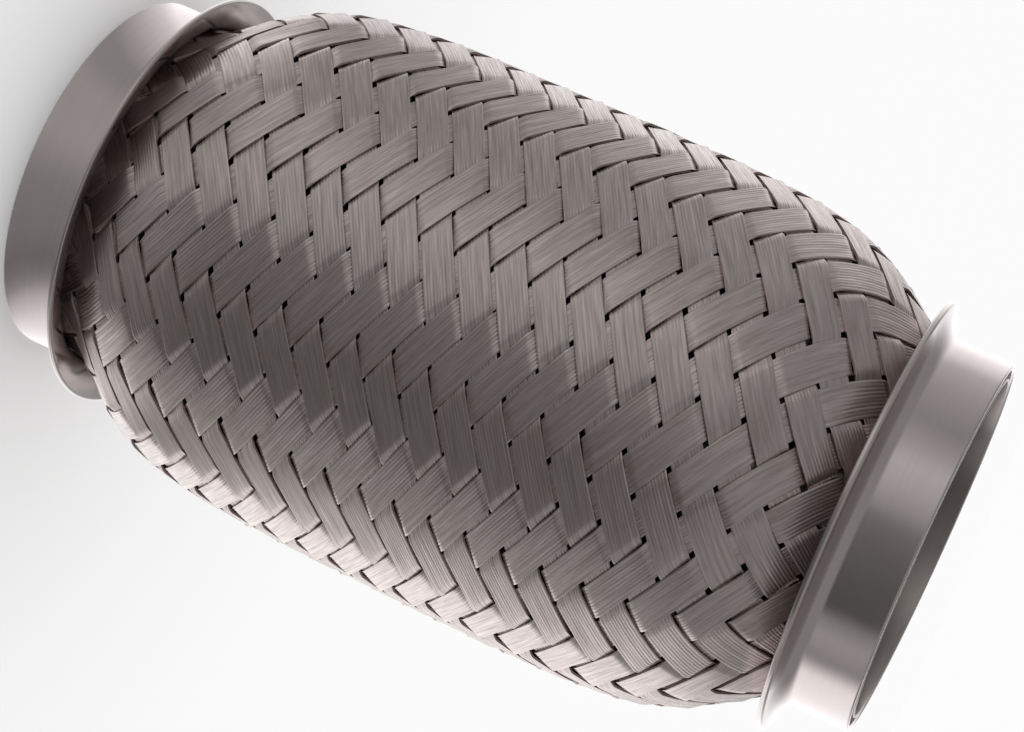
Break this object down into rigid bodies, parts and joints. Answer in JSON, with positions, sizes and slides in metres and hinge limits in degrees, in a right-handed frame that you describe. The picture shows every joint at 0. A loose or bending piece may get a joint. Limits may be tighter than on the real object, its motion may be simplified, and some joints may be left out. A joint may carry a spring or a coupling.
{
  "type": "exhaust flex pipe",
  "caption": "Braided exhaust flex pipe: a barrel-shaped sleeve of woven wire bands over a bellows and a liner, clamped at each end in a flared collar with a pipe socket.",
  "frame": {"origin": "centre of the lower rim, on the pipe's axis", "axes": "+Z along the pipe's axis, from the rim it stands on to the other rim"},
  "size_m": [0.0692, 0.0692, 0.12],
  "materials": {
    "collar_steel": "pressed stainless sheet, satin",
    "braid_wire": "bright drawn stainless wire in flat bands",
    "bellows_sheet": "thin formed stainless sheet",
    "liner_strip": "rolled stainless strip",
    "ring_steel": "rolled stainless sheet, satin"
  },
  "bodies": {
    "root": {"lower_end_collar": "collar_steel", "upper_end_collar": "collar_steel", "outer_braid": "braid_wire", "bellows": "bellows_sheet", "inner_liner": "liner_strip", "lower_sleeve_ring": "ring_steel", "upper_sleeve_ring": "ring_steel"}
  },
  "joints": []
}
